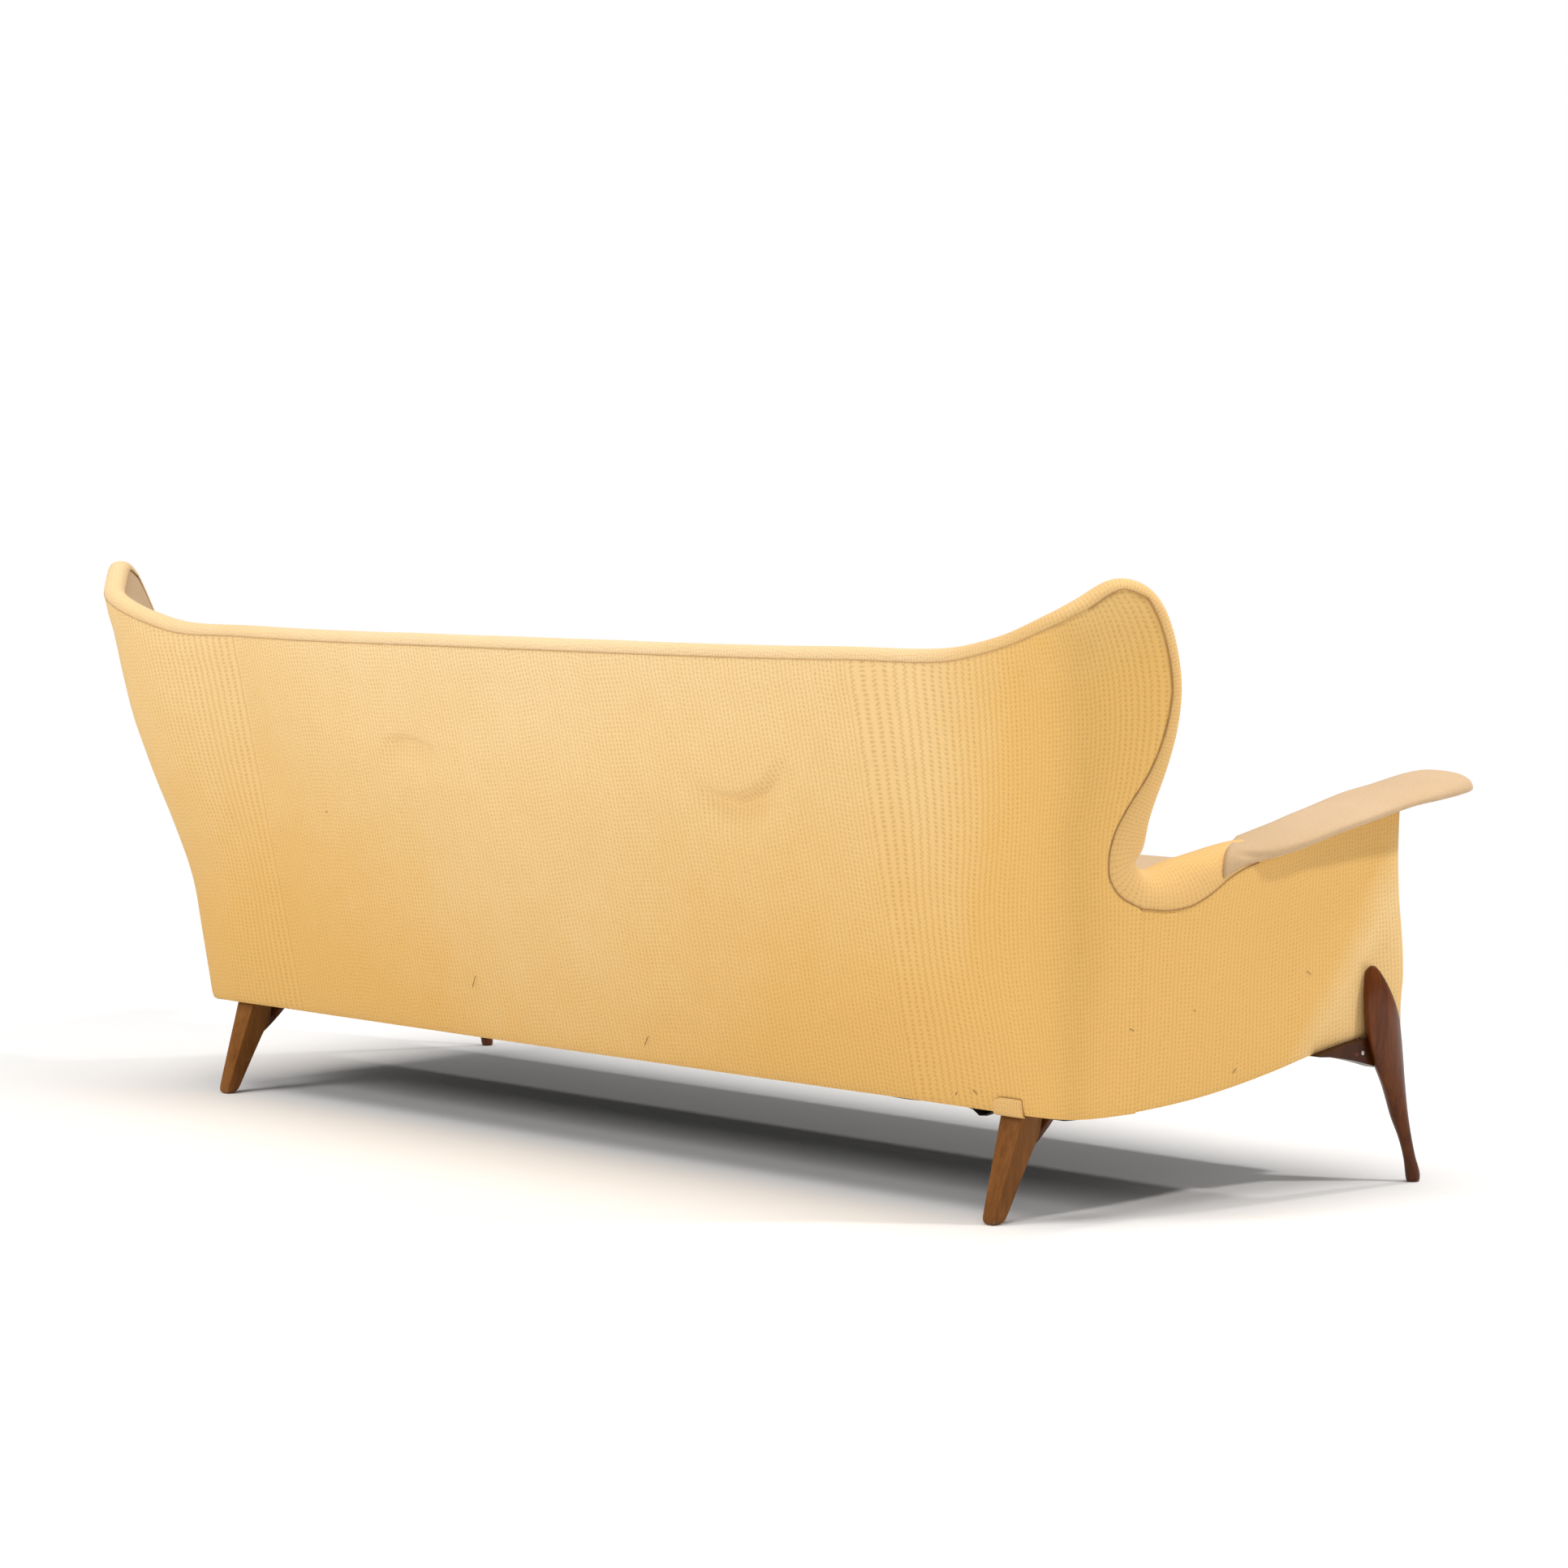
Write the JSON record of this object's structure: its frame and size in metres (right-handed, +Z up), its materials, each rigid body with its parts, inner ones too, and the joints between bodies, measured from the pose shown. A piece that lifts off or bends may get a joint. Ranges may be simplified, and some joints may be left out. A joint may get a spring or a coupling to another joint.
{
  "type": "sofa",
  "caption": "Winged upholstered sofa with a curved ribbed-wool back, swept arms with overhanging rests, loose seat cushions and splayed polished hardwood legs.",
  "frame": {"origin": "on the floor under the middle of the sofa's bounding box", "axes": "+X towards the sitter's left, +Y towards the back, +Z up; the sitter faces -Y"},
  "size_m": [2.3356, 0.9046, 0.8862],
  "materials": {
    "ribbed_wool": "ribbed wool upholstery cloth, worn and faded",
    "plain_wool": "paler wool upholstery cloth",
    "polished_mahogany": "polished dark red-brown hardwood",
    "beech": "sawn and planed beech",
    "wadding": "cotton and fibre wadding",
    "foam": "aged latex foam",
    "hessian": "open jute cloth",
    "jute_webbing": "woven jute webbing",
    "black_cloth": "thin black lining cloth",
    "steel": "dull steel screws"
  },
  "bodies": {
    "sofa": {"arm_front_cover_left": "plain_wool", "arm_front_cover_right": "plain_wool", "arm_front_pads": "wadding", "arm_front_posts": "beech", "arm_pads": "wadding", "arm_rails": "beech", "arm_rest_boards": "beech", "arm_rest_cover_left": "plain_wool", "arm_rest_cover_right": "plain_wool", "arm_rest_pad_left": "wadding", "arm_rest_pad_right": "wadding", "back_pad": "wadding", "back_posts": "beech", "back_webbing": "jute_webbing", "corner_blocks": "beech", "corner_posts": "beech", "deck_cloth": "hessian", "deck_cover": "plain_wool", "deck_pad": "wadding", "dust_cover": "black_cloth", "front_border_cover": "plain_wool", "front_border_pad": "wadding", "front_leg_brackets": "polished_mahogany", "front_leg_left": "polished_mahogany", "front_leg_right": "polished_mahogany", "front_rail": "beech", "inside_arm_cover_left": "plain_wool", "inside_arm_cover_right": "plain_wool", "inside_back_cover": "plain_wool", "inside_wing_cover_left": "plain_wool", "inside_wing_cover_right": "plain_wool", "leg_blocks": "beech", "leg_screws": "steel", "lumbar_rails": "beech", "outside_arm_cover_left": "ribbed_wool", "outside_arm_cover_right": "ribbed_wool", "outside_back_cover": "ribbed_wool", "rear_leg_left": "polished_mahogany", "rear_leg_right": "polished_mahogany", "rear_rail": "beech", "seat_cross_bars": "beech", "seat_webbing_cross": "jute_webbing", "seat_webbing_long": "jute_webbing", "side_rail_left": "beech", "side_rail_right": "beech", "top_border_band": "plain_wool", "top_edge_roll": "wadding", "top_rail": "beech", "wing_board_left": "beech", "wing_board_right": "beech", "wing_border_band_left": "plain_wool", "wing_border_band_right": "plain_wool", "wing_edge_rolls": "wadding", "wing_pads": "wadding"},
    "seat_cushion_left": {"seat_cushion_core_left": "foam", "seat_cushion_cover_left": "plain_wool"},
    "seat_cushion_centre": {"seat_cushion_core_centre": "foam", "seat_cushion_cover_centre": "plain_wool"},
    "seat_cushion_right": {"seat_cushion_core_right": "foam", "seat_cushion_cover_right": "plain_wool"}
  },
  "joints": [
    {"name": "lift_cushion_left", "type": "slide", "parent": "sofa", "child": "seat_cushion_left", "axis": [0, 0, 1], "range_m": [0, 0.3]},
    {"name": "lift_cushion_centre", "type": "slide", "parent": "sofa", "child": "seat_cushion_centre", "axis": [0, 0, 1], "range_m": [0, 0.3]},
    {"name": "lift_cushion_right", "type": "slide", "parent": "sofa", "child": "seat_cushion_right", "axis": [0, 0, 1], "range_m": [0, 0.3]}
  ]
}
